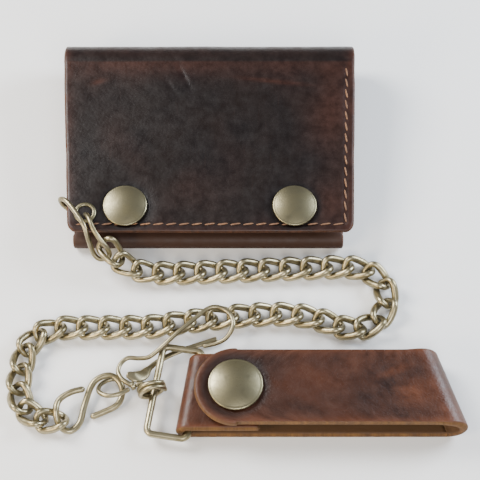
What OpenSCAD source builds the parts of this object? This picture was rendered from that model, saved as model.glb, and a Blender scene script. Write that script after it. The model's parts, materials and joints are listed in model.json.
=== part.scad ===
/* [Wallet] */
// Width of the closed wallet at its spine
spine_w = 110; // [100:1:120]
// Width of the cover at its lower hem
hem_w = 102.6; // [96:0.2:110]
// Width of the back panel at the bottom fold
fold_w = 98; // [90:1:104]
// Thickness of the outer leather
leather = 2; // [1.6:0.1:2.4]
// Thickness of the lining and pocket leather
thin_leather = 1.2; // [0.8:0.1:1.4]
// Outer radius of the spine fold
spine_r = 10.5; // [10:0.1:12]
// Outer radius of the bottom fold
bottom_r = 3.3; // [3.2:0.1:3.6]
// Slope of the closed cover, falling towards its hem
cover_tilt = 6.3; // [5.8:0.1:6.8]
// Length of the cover from the spine fold to its hem
cover_len = 70.3; // [69:0.1:71]
// Radius of the cover's two hem corners
corner_r = 4; // [2:0.5:8]

/* [Snaps] */
// Diameter of a wallet snap cap
cap_d = 15.9; // [12:0.1:17]
// Height of a wallet snap cap
cap_h = 2.2; // [1.6:0.1:2.6]
// Diameter of the belt loop's snap cap
loop_cap_d = 18.6; // [15:0.1:20]
// Outer diameter of the chain eyelet
eyelet_d = 8.2; // [7.6:0.1:9]
// Bore of the chain eyelet
eyelet_bore = 5.2; // [5:0.1:5.6]

/* [Chain] */
// Wire diameter of a chain link
link_wire = 2.1; // [1.8:0.05:2.1]
// Half length of a link, to the centre of its wire
link_half_len = 5.1; // [5:0.05:5.2]
// Half width of a link, to the centre of its wire
link_half_w = 3.2; // [3.1:0.05:3.3]
// How far a link's wire is twisted up and down
link_twist = 1.9; // [1.8:0.05:2]
// Distance from one link to the next
link_pitch = 7.6; // [7.5:0.05:7.7]

/* [Belt loop] */
// Width of the belt loop strap
strap_w = 28; // [24:1:29]
// Thickness of the belt loop leather
strap_t = 3; // [2.6:0.1:3.2]
// Wire diameter of the rectangular ring
ring_wire = 2.4; // [2:0.1:2.4]
// Outer radius of the belt loop's wide fold
loop_r = 6.5; // [6.4:0.1:7]

/* [Hidden] */
link_count = 38;
link_names = [for (i = [1:link_count]) str("link_", i < 10 ? "0" : "", i)];
$fn = 48;

outer_leather = "#3a201c";
pocket_leather = "#5a3424";
strap_leather = "#5d3020";
nickel = "#a9a284";

// The wallet lies on its back panel. Its spine fold and bottom fold are half tubes along X.
spine_y = 31;
fold_y = -37.6;
fold_axis_z = bottom_r;
hem_shift = 1;
lining_inset = 2;
stack_gap = 0.2;
divider_z = leather;
pocket_z = divider_z + thin_leather + stack_gap;
inner_z = 2 * bottom_r - leather;
inner_len = 58;
cap_x = [-29.8, 31.1];
cap_down = 60.3;
eyelet_x = -44.1;
eyelet_down = 63;
flange_t = 0.7;

// The chain starts beside the eyelet, comes down to the floor in three links and then lies flat.
chain_start = [-36.5, -43.6, 10.7];
chain_heading = -48;
chain_drop = [28, 22, 10];
// Turns between links, in degrees, as [number of joints, turn at each].
chain_turns = [[1, 28], [1, 17], [1, 3], [1, 2.5], [7, 0], [1, -15], [5, -35], [1, -16], [2, 10.5],
    [1, 5], [3, 2], [2, 0], [1, -8], [3, 0], [1, 16], [1, 36], [1, 32], [1, 0], [1, 24], [1, 36], [1, 35]];
link_power = 2.4;
link_rings = 24;

// The belt loop lies with its near and far edges along X and both folds askew.
strap_far_y = -85.2;
strap_mid_y = strap_far_y - strap_w / 2;
left_skew = 9;
right_skew = 18;
bar_gap = 0.08;
bar_r = ring_wire / 2;
bar_fold_r = bar_r + bar_gap + strap_t;
bar_x = -3.8;
right_x = 77;
flap_z = 2 * loop_r - strap_t;
flap_tip_x = -4;
tab_end_x = 18;
stud_x = 10;

function deg_power(v, p) = sign(v) * pow(abs(v), p);
function unit(v) = v / norm(v);
function arc_points(centre, r, from, to, steps) =
    [for (i = [0:steps]) centre + r * [cos(from + (to - from) * i / steps), sin(from + (to - from) * i / steps)]];

// A smooth line through points: each span is a cubic whose slope at a point is half the step
// between that point's neighbours.
function point_at(points, i) =
    i < 0 ? 2 * points[0] - points[1]
    : i >= len(points) ? 2 * points[len(points) - 1] - points[len(points) - 2]
    : points[i];
function blend_point(a, b, c, d, u) =
    ((2 * b) + (c - a) * u + (2 * a - 5 * b + 4 * c - d) * u * u + (3 * b - a - 3 * c + d) * u * u * u) / 2;
function smooth_line(points, steps) = concat(
    [for (i = [0:len(points) - 2]) for (k = [0:steps - 1])
        blend_point(point_at(points, i - 1), point_at(points, i), point_at(points, i + 1),
            point_at(points, i + 2), k / steps)],
    [points[len(points) - 1]]);
function smooth_loop(points, steps) =
    let (count = len(points))
    [for (i = [0:count - 1]) for (k = [0:steps - 1])
        blend_point(points[(i + count - 1) % count], points[i], points[(i + 1) % count],
            points[(i + 2) % count], k / steps)];

// A wire of oval section along a path. The section's first axis stays level, and each ring of
// points stands square to the path.
module wire(path, half_w, half_h, sides = 8, closed = false) {
    count = len(path);
    rings = [for (i = [0:count - 1])
        let (before = path[closed ? (i + count - 1) % count : max(i - 1, 0)],
            after = path[closed ? (i + 1) % count : min(i + 1, count - 1)],
            along = unit(after - before),
            side = unit(cross([0, 0, 1], along)),
            rise = cross(along, side),
            w = is_list(half_w) ? half_w[i] : half_w)
        [for (k = [0:sides - 1]) path[i] + w * cos(360 * (k + 0.5) / sides) * side
            + half_h * sin(360 * (k + 0.5) / sides) * rise]];
    spans = closed ? count : count - 1;
    walls = [for (i = [0:spans - 1]) for (k = [0:sides - 1])
        let (a = i * sides + k, b = i * sides + (k + 1) % sides,
            c = ((i + 1) % count) * sides + (k + 1) % sides, d = ((i + 1) % count) * sides + k)
        each [[a, c, b], [a, d, c]]];
    ends = closed ? [] : concat(
        [for (k = [1:sides - 2]) [0, k, k + 1]],
        [for (k = [1:sides - 2]) let (last = (count - 1) * sides) [last, last + k + 1, last + k]]);
    polyhedron([for (ring = rings) each ring], concat(walls, ends), convexity = 8);
}

// Places its children on the cover's outer face: local y runs down from the spine, and z = 0 is the face.
module on_cover() {
    translate([0, spine_y, spine_r]) rotate([cover_tilt, 0, 0]) translate([0, 0, spine_r]) children();
}

// Half the wallet's outline width at a distance down the cover, without the shift of the hem.
function cover_half_w(down) = spine_w / 2 + (hem_w - spine_w) / 2 * down / cover_len;
function cover_shift(down) = hem_shift * down / cover_len;
function panel_half_w(y) = spine_w / 2 + (fold_w - spine_w) / 2 * (spine_y - y) / (spine_y - fold_y);

module cover_outline(inset, top, bottom, r) {
    top_w = cover_half_w(top) - inset;
    low_w = cover_half_w(bottom) - inset;
    low_x = cover_shift(bottom);
    polygon(concat(
        [[top_w + cover_shift(top), -top], [-top_w + cover_shift(top), -top]],
        arc_points([low_x - low_w + r, -bottom + r], r, 180, 270, 6),
        arc_points([low_x + low_w - r, -bottom + r], r, 270, 360, 6)));
}

module panel_outline(inset, far_y, near_y) {
    far_w = panel_half_w(far_y) - inset;
    near_w = panel_half_w(near_y) - inset;
    polygon([[-far_w, far_y], [-near_w, near_y], [near_w, near_y], [far_w, far_y]]);
}

module back_panel() {
    color(outer_leather) linear_extrude(leather) panel_outline(0, spine_y, fold_y);
}

module spine_fold() {
    color(outer_leather) translate([-spine_w / 2, spine_y, spine_r]) rotate([90, 0, 90])
        rotate([0, 0, -90]) rotate_extrude(angle = 180 + cover_tilt)
            translate([spine_r - leather, 0]) square([leather, spine_w]);
}

module bottom_fold() {
    color(outer_leather) translate([-fold_w / 2, fold_y, fold_axis_z]) rotate([90, 0, 90])
        rotate([0, 0, 90]) rotate_extrude(angle = 180)
            translate([bottom_r - leather, 0]) square([leather, fold_w]);
}

module cover_panel() {
    color(outer_leather) on_cover() difference() {
        translate([0, 0, -leather]) linear_extrude(leather) cover_outline(0, 0, cover_len, corner_r);
        translate([eyelet_x, -eyelet_down, -leather - 1]) cylinder(d = eyelet_bore + 2 * flange_t, h = leather + 2);
    }
}

module cover_lining() {
    color(pocket_leather) on_cover() difference() {
        translate([0, 0, -leather - thin_leather]) linear_extrude(thin_leather)
            cover_outline(lining_inset, 3 * lining_inset, cover_len - lining_inset, corner_r);
        translate([eyelet_x, -eyelet_down, -leather - thin_leather - 1])
            cylinder(d = eyelet_bore + 2 * flange_t, h = leather + thin_leather);
    }
}

module bill_divider() {
    color(pocket_leather) translate([0, 0, divider_z]) linear_extrude(thin_leather)
        panel_outline(lining_inset, spine_y, fold_y);
}

module inner_panel() {
    color(outer_leather) translate([0, 0, inner_z]) linear_extrude(leather)
        panel_outline(0.5, fold_y + inner_len, fold_y);
}

module inner_pockets() {
    color(pocket_leather) translate([0, 0, pocket_z]) linear_extrude(inner_z - pocket_z)
        panel_outline(lining_inset, fold_y + inner_len - lining_inset, fold_y);
}

// A domed cap: a lens whose top is a ball of a radius that spans the rim, on a short straight rim.
module dome_cap(d, h) {
    rim_h = 0.8;
    rise = h - rim_h;
    ball_r = (pow(d / 2, 2) + rise * rise) / (2 * rise);
    difference() {
        intersection() {
            cylinder(d = d, h = h);
            translate([0, 0, h - ball_r]) sphere(ball_r, $fn = 96);
        }
    }
}

module cover_caps() {
    color(nickel) for (x = cap_x) on_cover() translate([x, -cap_down, 0]) dome_cap(cap_d, cap_h);
}

module inner_studs() {
    stud_y = spine_y - cap_down * cos(cover_tilt) - spine_r * sin(cover_tilt);
    color(nickel) for (x = cap_x) translate([x, stud_y, inner_z + leather]) {
        cylinder(d = 8, h = 0.8);
        cylinder(d = 4.2, h = 2.2);
    }
}

// The eyelet's barrel lines the hole and its flanges lie on both faces of the cover.
module eyelet() {
    color(nickel) on_cover() translate([eyelet_x, -eyelet_down, 0]) difference() {
        union() {
            cylinder(d = eyelet_d, h = flange_t);
            translate([0, 0, -leather - thin_leather - flange_t / 2]) cylinder(d = eyelet_bore + 2 * flange_t - 0.04,
                h = leather + thin_leather + flange_t);
            translate([0, 0, -leather - thin_leather - flange_t]) cylinder(d = eyelet_d, h = flange_t);
        }
        translate([0, 0, -10]) cylinder(d = eyelet_bore, h = 20);
    }
}

// A closed wire loop: down through the eyelet, out under the cover's left edge, back over the cover
// and down to the turn that holds the first chain link.
connector_route = [[-42.4, -36.2, 16.3], [-40.6, -40.4, 15.9], [-38.1, -43.7, 13.8], [-35.8, -45.5, 10.9],
    [-35.3, -46.8, 7.3], [-38.5, -47.5, 6.4], [-40.8, -46.2, 8], [-42.3, -43.2, 12], [-43.7, -39.6, 15.8],
    [-46.8, -34.6, 16.7], [-50.6, -29.4, 16.5], [-53.2, -27, 14], [-52.6, -27.3, 10.6], [-49.4, -29.1, 8.7],
    [-46.5, -31, 8.8], [-44.7, -32.3, 10.6], [-43.9, -33.3, 13.8]];
module connector() {
    color(nickel) wire(smooth_loop(connector_route, 3), 0.9, 0.9, closed = true);
}

// One link: x and y run round a superellipse, and z rises and falls twice each turn.
link_line = [for (i = [0:link_rings - 1]) let (t = 360 * i / link_rings)
    [link_half_len * deg_power(cos(t), 2 / link_power), link_half_w * deg_power(sin(t), 2 / link_power),
        -link_twist * sin(2 * t)]];
joint_turns = [for (group = chain_turns) for (i = [1:group[0]]) group[1]];
function heading(i) = i == 0 ? chain_heading : heading(i - 1) + joint_turns[i - 1];
function drop(i) = i < len(chain_drop) ? chain_drop[i] : 0;
function link_step(i) =
    link_pitch * [cos(heading(i)) * cos(drop(i)), sin(heading(i)) * cos(drop(i)), -sin(drop(i))];
function link_start(i) = i == 0 ? chain_start : link_start(i - 1) + link_step(i - 1);

module chain_link(i) {
    color(nickel) translate(link_start(i) + link_step(i) / 2) rotate([0, drop(i), heading(i)])
        wire(link_line, link_wire / 2, link_wire / 2, closed = true);
}

// The hook is an S: its left bend holds the last chain link, its right bend the clip's eye.
hook_route = [[-41.5, -97, 4.6], [-46, -98.4, 5], [-49.9, -101.2, 5], [-50.8, -105.2, 5], [-49.8, -109.3, 2.2],
    [-46.3, -111.2, 1.4], [-43.1, -108.4, 1.3], [-41.6, -102.2, 2.2], [-39.6, -95.6, 3.2], [-37, -92.6, 3.6],
    [-33, -91.7, 3.7], [-29.7, -94.2, 3.3], [-28.9, -98, 2.2], [-30.6, -101.8, 1.6], [-35, -104.2, 1.4],
    [-39.4, -106.2, 1.4]];
module s_hook() {
    color(nickel) wire(smooth_line(hook_route, 3), 1.1, 1.1);
}

clip_route = [[-1.5, -80.6, 3.7], [3.5, -79.7, 4.4], [6.8, -78.2, 5.6], [9.1, -74.3, 7.2], [8, -70, 7.4],
    [4.5, -67.4, 7.4], [0.6, -67.6, 7.4], [-4.5, -71.8, 7.4], [-10.7, -77.6, 7.4], [-16.5, -83, 6.3],
    [-20, -85.6, 5.6], [-23.5, -85.8, 5], [-27.2, -85.6, 4.8], [-29.6, -87.6, 4.7], [-30.4, -90.6, 4.9],
    [-29.2, -93.4, 5.4], [-27, -95.2, 5.5], [-25.2, -95.9, 5.2]];
eye_route = [[-26.2, -97, 4.4], [-30, -99.2, 5], [-34, -99.6, 4.8], [-36.9, -97.4, 3.4], [-36.4, -94, 1.6],
    [-33, -91.9, 1], [-29, -92.4, 1.2], [-26.6, -94.4, 2.6], [-26, -95.5, 3.7]];
tail_route = [[-24.3, -96.1, 4.5], [-23.2, -95.2, 4.6], [-21.6, -95.3, 4.7], [-20.7, -96.8, 4.7],
    [-20.9, -98.6, 4.7]];
collar_at = [-25.9, -96.2, 4.6];
collar_turn = 20;
collar_len = 1.6;

// The clip's wire runs from its open tip round the nose, down the shank and into the collar, where
// the eye's two ends and the short tail that hooks the split ring are crimped beside it.
module clip_frame() {
    color(nickel) {
        wire(smooth_line(clip_route, 3), 0.8, 0.8);
        wire(smooth_line(eye_route, 3), 0.8, 0.8);
        wire(smooth_line(tail_route, 3), 0.8, 0.8);
        translate(collar_at) rotate([0, 90, collar_turn]) cylinder(r = 1.5, h = collar_len);
    }
}

// The gate is a flat spring strip that ends in a dished thumb tab.
gate_route = [[3.5, -76.9, 1.8], [-5.3, -80, 1.8], [-11.9, -82.6, 1.8], [-17.2, -85.7, 1.8],
    [-20, -88.5, 2.4], [-22, -91.2, 3.2], [-24.5, -92.4, 4.4], [-27.5, -91.6, 4.8]];
module clip_gate() {
    steps = 3;
    line = smooth_line(gate_route, steps);
    last = len(line) - 1;
    tab = [for (i = [0:last]) i > last - 2 * steps ? 1 + 1.2 * sin(180 * (i - last + 2 * steps) / (2 * steps)) : 1];
    color(nickel) wire(line, tab, 0.5);
}

split_at = [-18.6, -97.4, 5.2];
split_r = 4.3;
split_wire = 1.7;
split_turn = 18;
split_lead = 1.75;
module split_ring() {
    turns = 2;
    rings = 20;
    line = [for (i = [0:turns * rings]) let (t = 360 * i / rings)
        [split_r * cos(t), split_lead * (i / rings - turns / 2), split_r * sin(t)]];
    color(nickel) translate(split_at) rotate([0, 0, split_turn]) ring_wire_along(line, split_wire / 2);
}

// A round wire along a helix about Y: each ring of points lies in the plane through the axis.
module ring_wire_along(line, r, sides = 8) {
    count = len(line);
    points = [for (p = line) let (out = unit([p[0], 0, p[2]]))
        each [for (k = [0:sides - 1]) p + r * cos(360 * k / sides) * out + r * sin(360 * k / sides) * [0, 1, 0]]];
    walls = [for (i = [0:count - 2]) for (k = [0:sides - 1])
        let (a = i * sides + k, b = i * sides + (k + 1) % sides, c = b + sides, d = a + sides)
        each [[a, c, b], [a, d, c]]];
    ends = concat([for (k = [1:sides - 2]) [0, k, k + 1]],
        [for (k = [1:sides - 2]) let (last = (count - 1) * sides) [last, last + k + 1, last + k]]);
    polyhedron(points, concat(walls, ends), convexity = 8);
}

ring_len = 32.5;
ring_w = 14;
ring_bend = 2.2;
bar_z = bar_fold_r;

// Places its children on the bar fold's slanted centre line, with local y along it.
module at_bar() {
    translate([bar_x, strap_mid_y, bar_z]) rotate([0, 0, -left_skew]) children();
}

// A rectangle of round wire with four bent corners: straight cylinders and quarter rings.
module rect_ring() {
    long = ring_len - 2 * ring_bend;
    short = ring_w - 2 * ring_bend;
    color(nickel) at_bar() translate([-ring_w / 2, 0, 0]) union() {
        for (side = [-1, 1]) {
            translate([side * ring_w / 2, -long / 2, 0]) rotate([-90, 0, 0]) cylinder(r = bar_r, h = long);
            translate([-short / 2, side * ring_len / 2, 0]) rotate([0, 90, 0]) cylinder(r = bar_r, h = short);
        }
        for (turn = [0:90:270]) {
            sx = (turn == 0 || turn == 270) ? 1 : -1;
            sy = turn < 180 ? 1 : -1;
            translate([sx * short / 2, sy * long / 2, 0]) rotate([0, 0, turn])
                rotate_extrude(angle = 90) translate([ring_bend, 0]) circle(r = bar_r);
        }
    }
}

// X of a slanted line through mid_x on the strap's centre line.
function slant_x(mid_x, skew, y) = mid_x + (y - strap_mid_y) * tan(skew);

// The plan of the strap between two lines across it, each slanted by its own angle.
module strap_plan(left_x, left_angle, end_x, end_angle) {
    near_y = strap_far_y - strap_w;
    polygon([
        [slant_x(left_x, left_angle, strap_far_y), strap_far_y], [slant_x(left_x, left_angle, near_y), near_y],
        [slant_x(end_x, end_angle, near_y), near_y], [slant_x(end_x, end_angle, strap_far_y), strap_far_y]]);
}

// The strap seen along the ring's bar: a bottom layer, a turn round the bar and a top layer.
module bar_profile(reach) {
    centre = [0, bar_fold_r];
    top = 2 * bar_fold_r;
    steps = 24;
    polygon(concat([[reach, 0]], arc_points(centre, bar_fold_r, 270, 90, steps),
        [[reach, top], [reach, top - strap_t]],
        arc_points(centre, bar_fold_r - strap_t, 90, 270, steps), [[reach, strap_t]]));
}

// Bottom layer, fold round the ring's bar, and the tab that comes back over it.
module strap_base() {
    reach = 4 * strap_w;
    color(strap_leather) difference() {
        intersection() {
            translate([bar_x, strap_mid_y, 0]) rotate([0, 0, -left_skew]) translate([0, reach, 0])
                rotate([90, 0, 0]) linear_extrude(2 * reach) bar_profile(reach);
            translate([0, 0, -1]) linear_extrude(2 * bar_fold_r + 2)
                strap_plan(bar_x - strap_w, 0, right_x, -right_skew);
        }
        translate([tab_end_x, strap_far_y - strap_w - 1, bar_fold_r]) cube([reach, strap_w + 2, 2 * bar_fold_r]);
        translate([stud_x, strap_mid_y, strap_t + 0.1]) cylinder(r = 1.4, h = 20);
    }
}

// A half tube about a slanted level axis, trimmed to the strap's two edges.
module strap_fold() {
    reach = 2 * strap_w;
    color(strap_leather) intersection() {
        translate([right_x, strap_mid_y, loop_r]) rotate([0, 0, right_skew]) translate([0, reach / 2, 0])
            rotate([90, 0, 0]) rotate([0, 0, -90]) rotate_extrude(angle = 180)
                translate([loop_r - strap_t, 0]) square([strap_t, reach]);
        translate([right_x - 50, strap_far_y - strap_w, -1]) cube([100, strap_w, 2 * loop_r + 2]);
    }
}

// The flap ends in a half round tip under the cap.
module strap_flap() {
    near_y = strap_far_y - strap_w;
    tip_r = strap_w / 2;
    color(strap_leather) translate([0, 0, flap_z]) difference() {
        linear_extrude(strap_t) polygon(concat(
            arc_points([flap_tip_x + tip_r, strap_mid_y], tip_r, 90, 270, 24),
            [[slant_x(right_x, -right_skew, near_y), near_y],
                [slant_x(right_x, -right_skew, strap_far_y), strap_far_y]]));
        translate([stud_x, strap_mid_y, -1]) cylinder(r = 3, h = strap_t + 2);
    }
}

module strap_cap() {
    color(nickel) translate([stud_x, strap_mid_y, flap_z + strap_t]) {
        dome_cap(loop_cap_d, 2.6);
        translate([0, 0, -strap_t - 0.6]) difference() {
            cylinder(r = 2.9, h = strap_t + 1);
            translate([0, 0, -1]) cylinder(r = 2.15, h = 3.2);
        }
    }
}

module strap_stud() {
    color(nickel) translate([stud_x, strap_mid_y, 2 * bar_fold_r]) {
        cylinder(r = 4.5, h = 0.5);
        cylinder(r = 2.1, h = flap_z - 2 * bar_fold_r + 1.2);
        translate([0, 0, -strap_t]) cylinder(r = 1.3, h = strap_t + 0.1);
        translate([0, 0, -strap_t - 0.5]) cylinder(r = 3.5, h = 0.5);
    }
}

back_panel();
spine_fold();
cover_panel();
cover_lining();
bottom_fold();
inner_panel();
inner_pockets();
bill_divider();
cover_caps();
inner_studs();
eyelet();
connector();
s_hook();
clip_frame();
clip_gate();
split_ring();
rect_ring();
strap_base();
strap_fold();
strap_flap();
strap_cap();
strap_stud();
for (i = [0:link_count - 1]) chain_link(i);
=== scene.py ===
import bpy
import json
import numpy as np
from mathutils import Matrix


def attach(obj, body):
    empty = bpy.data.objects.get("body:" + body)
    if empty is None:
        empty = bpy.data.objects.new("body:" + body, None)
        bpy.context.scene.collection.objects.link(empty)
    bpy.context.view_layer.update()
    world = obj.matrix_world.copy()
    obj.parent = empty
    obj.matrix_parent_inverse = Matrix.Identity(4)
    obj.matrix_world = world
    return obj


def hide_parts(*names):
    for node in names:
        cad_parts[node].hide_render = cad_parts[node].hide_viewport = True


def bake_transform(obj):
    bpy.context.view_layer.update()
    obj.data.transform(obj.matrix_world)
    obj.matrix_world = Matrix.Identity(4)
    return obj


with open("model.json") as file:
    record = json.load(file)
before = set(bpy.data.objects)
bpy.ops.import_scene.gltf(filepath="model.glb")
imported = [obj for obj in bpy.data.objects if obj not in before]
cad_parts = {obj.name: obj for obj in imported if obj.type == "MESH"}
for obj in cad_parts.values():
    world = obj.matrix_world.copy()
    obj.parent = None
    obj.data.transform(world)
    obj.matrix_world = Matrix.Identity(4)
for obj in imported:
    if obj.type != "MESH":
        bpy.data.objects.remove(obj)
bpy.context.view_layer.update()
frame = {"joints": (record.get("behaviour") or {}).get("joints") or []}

# every length below is in millimetres; meshes are written in metres
mm = 0.001

# ---- camera and light: set these first, they decide how everything else reads ----
camera = {"target": (11.5, -36, 0), "distance": 512.4, "pitch": 60.5, "lens": 105}
lamps = {
    "topSoft": {"at": (-430, 190, 430), "aim": (-10, -30, 0), "size": 300, "power": 7.0,
                "tint": (1, 0.99, 0.97)},
    "windowSide": {"at": (430, 120, 260), "aim": (20, -50, 0), "size": 240, "power": 4.2,
                   "tint": (0.80, 0.89, 1)},
    "warmSide": {"at": (-360, -280, 240), "aim": (0, -60, 0), "size": 160, "power": 1.8,
                 "tint": (1, 0.82, 0.58)},
    "frontFill": {"at": (80, -430, 420), "aim": (0, -60, 0), "size": 260, "power": 2.2, "tint": (1, 1, 1)},
}


def pointAt(obj, target):
    # turns an object so that its own -Z looks at the target
    from mathutils import Vector
    away = obj.location - Vector(target) * mm
    obj.rotation_euler = away.to_track_quat("Z", "Y").to_euler()


def makeCamera():
    # stands back from the target along a line that falls by the pitch
    pitch = np.radians(camera["pitch"])
    data = bpy.data.cameras.new("camera")
    data.lens = camera["lens"]
    data.sensor_width = 36
    data.clip_start = 0.01
    obj = bpy.data.objects.new("camera", data)
    bpy.context.collection.objects.link(obj)
    x, y, z = camera["target"]
    far = camera["distance"]
    obj.location = (x * mm, (y - far * np.cos(pitch)) * mm, (z + far * np.sin(pitch)) * mm)
    obj.rotation_euler = (np.pi / 2 - pitch, 0, 0)
    bpy.context.scene.camera = obj


def makeLamps():
    for name, lamp in lamps.items():
        data = bpy.data.lights.new(name, "AREA")
        data.size = lamp["size"] * mm
        data.energy = lamp["power"]
        data.color = lamp["tint"]
        obj = bpy.data.objects.new(name, data)
        obj.location = [v * mm for v in lamp["at"]]
        bpy.context.collection.objects.link(obj)
        pointAt(obj, lamp["aim"])
    world = bpy.data.worlds.new("paleRoom")
    world.use_nodes = True
    back = world.node_tree.nodes["Background"]
    back.inputs["Color"].default_value = (0.93, 0.95, 1, 1)
    back.inputs["Strength"].default_value = 0.30
    bpy.context.scene.world = world


makeCamera()
makeLamps()
print("camera and lamps set")


# ---- mesh helpers: all of them work on whole arrays ----
def unit(v):
    return v / np.maximum(np.linalg.norm(v, axis=-1, keepdims=True), 1e-12)


def buildMesh(name, points, quads, extra=(), fields=None, uv=None):
    # points in mm; the faces are turned over when the closed shape's volume comes out negative
    a, b, c, d = (points[quads[:, k]] for k in range(4))
    volume = np.einsum("ij,ij->", a, np.cross(b, c)) + np.einsum("ij,ij->", a, np.cross(c, d))
    if volume < 0:
        quads = quads[:, ::-1]
        extra = [face[::-1] for face in extra]
    mesh = bpy.data.meshes.new(name)
    mesh.from_pydata((points * mm).tolist(), [], quads.tolist() + [list(map(int, f)) for f in extra])
    mesh.polygons.foreach_set("use_smooth", np.ones(len(mesh.polygons), bool))
    for key, values in (fields or {}).items():
        layer = mesh.attributes.new(key, "FLOAT", "POINT")
        layer.data.foreach_set("value", np.asarray(values, np.float32).ravel())
    if uv is not None:
        corner = np.empty(len(mesh.loops), np.int32)
        mesh.loops.foreach_get("vertex_index", corner)
        layer = mesh.uv_layers.new(name="hide")
        layer.data.foreach_set("uv", uv[corner].astype(np.float32).ravel())
    mesh.update()
    obj = bpy.data.objects.new(name, mesh)
    bpy.context.collection.objects.link(obj)
    return obj


def loopQuads(rows, columns, closeRows=False):
    # quads of a grid whose columns wrap round; its rows wrap too when closeRows is true
    spans = rows if closeRows else rows - 1
    i, k = np.meshgrid(np.arange(spans), np.arange(columns), indexing="ij")
    nextRow, nextColumn = (i + 1) % rows, (k + 1) % columns
    return np.stack([i * columns + k, i * columns + nextColumn,
                     nextRow * columns + nextColumn, nextRow * columns + k], -1).reshape(-1, 4)


def splineThrough(points, steps, closed=False):
    # Catmull-Rom: each span is a cubic whose slope at a point is half the step between its neighbours
    p = np.array(points, float)
    if closed:
        before, after, later = np.roll(p, 1, 0), np.roll(p, -1, 0), np.roll(p, -2, 0)
        here = p
    else:
        full = np.vstack([2 * p[0] - p[1], p, 2 * p[-1] - p[-2]])
        before, here, after, later = full[:-3], full[1:-2], full[2:-1], full[3:]
    u = (np.arange(steps) / steps)[None, :, None]
    b, h, a, l = (v[:, None, :] for v in (before, here, after, later))
    line = (2 * h + (a - b) * u + (2 * b - 5 * h + 4 * a - l) * u ** 2 + (3 * h - b - 3 * a + l) * u ** 3) / 2
    line = line.reshape(-1, 3)
    return line if closed else np.vstack([line, p[-1]])


def evenLine(line, count, endRadius=0):
    # the line again at even steps of its length, with closer steps over the two rounded ends
    s = np.concatenate([[0], np.cumsum(np.linalg.norm(np.diff(line, axis=0), axis=1))])
    at = np.linspace(0, s[-1], count)
    if endRadius:
        nose = endRadius * (1 - np.cos(np.radians([12, 30, 48, 66, 80])))
        at = np.unique(np.concatenate([nose, np.linspace(endRadius, s[-1] - endRadius, count), s[-1] - nose]))
    return np.stack([np.interp(at, s, line[:, k]) for k in range(3)], 1), at, s[-1]


def wirePiece(name, line, radius, closed=False, sides=14, count=90, flat=1.0, wide=None, up=None, wander=0.0):
    # a round or oval section carried along a line: centre + radius (cos a side + flat sin a rise).
    # Side is square to the line and to the normal of the plane that fits the line best.
    if closed:
        path = line
        size = np.broadcast_to(np.asarray(radius, float), len(path))
        along = unit(np.roll(path, -1, 0) - np.roll(path, 1, 0))
    else:
        path, at, total = evenLine(line, count, radius * flat)
        left = np.minimum(at, total - at) / (radius * flat)
        size = radius * np.sqrt(np.clip(1 - (1 - np.minimum(left, 1)) ** 2, 0.0004, 1))
        along = unit(np.gradient(path, axis=0))
        if wide is not None:
            size = size * wide(at / total)
    if up is None:
        up = np.linalg.svd(path - path.mean(0))[2][2]
        up = up * np.sign(up[2] + 1e-9)
    side = unit(np.cross(np.asarray(up, float), along))
    rise = np.cross(along, side)
    a = (np.arange(sides) + 0.5) * 2 * np.pi / sides
    thick = size * flat if wide is None else np.minimum(size, radius) * flat
    ring = (path[:, None] + size[:, None, None] * np.cos(a)[None, :, None] * side[:, None]
            + thick[:, None, None] * np.sin(a)[None, :, None] * rise[:, None])
    # painted shade: darker on the inside of a bend and underneath, shifted a little per piece by wander
    bend = unit(path.mean(0) - path)
    inward = (unit(ring - path[:, None]) * bend[:, None]).sum(-1)
    below = -unit(ring - path[:, None])[..., 2]
    paintedShade = np.clip(0.45 * inward + 0.85 * below - 0.05 + wander, 0, 1)
    quads = loopQuads(len(path), sides, closed)
    caps = [] if closed else [list(range(sides))[::-1],
                              list(range((len(path) - 1) * sides, len(path) * sides))]
    return buildMesh(name, ring.reshape(-1, 3), quads, caps, {"paintedShade": paintedShade})


def turnedPiece(name, profile, sides, places, fields=None):
    # a profile of (radius, height) turned round the axis of each place; place is (origin, x, y, z axes)
    profile = np.array(profile, float)
    a = np.arange(sides) * 2 * np.pi / sides
    allPoints, allQuads, allCaps, allField = [], [], [], []
    rows = len(profile)
    for n, (origin, ax, ay, az) in enumerate(places):
        r, h = profile[:, 0][:, None], profile[:, 1][:, None]
        dent = 1 + 0.004 * np.sin(3 * a + n)[None, :]
        points = (np.array(origin, float) + (r * dent * np.cos(a))[..., None] * np.array(ax, float)
                  + (r * dent * np.sin(a))[..., None] * np.array(ay, float)
                  + (h + 0 * a)[..., None] * np.array(az, float))
        base = n * rows * sides
        allPoints.append(points.reshape(-1, 3))
        allQuads.append(loopQuads(rows, sides) + base)
        allCaps += [[base + k for k in range(sides)][::-1],
                    [base + (rows - 1) * sides + k for k in range(sides)]]
        # fields gives each profile row a painted shade value
        if fields is not None:
            allField.append(np.repeat(np.array(fields, float), sides))
    data = {"paintedShade": np.concatenate(allField)} if fields is not None else None
    return buildMesh(name, np.vstack(allPoints), np.vstack(allQuads), allCaps, data)


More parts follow.
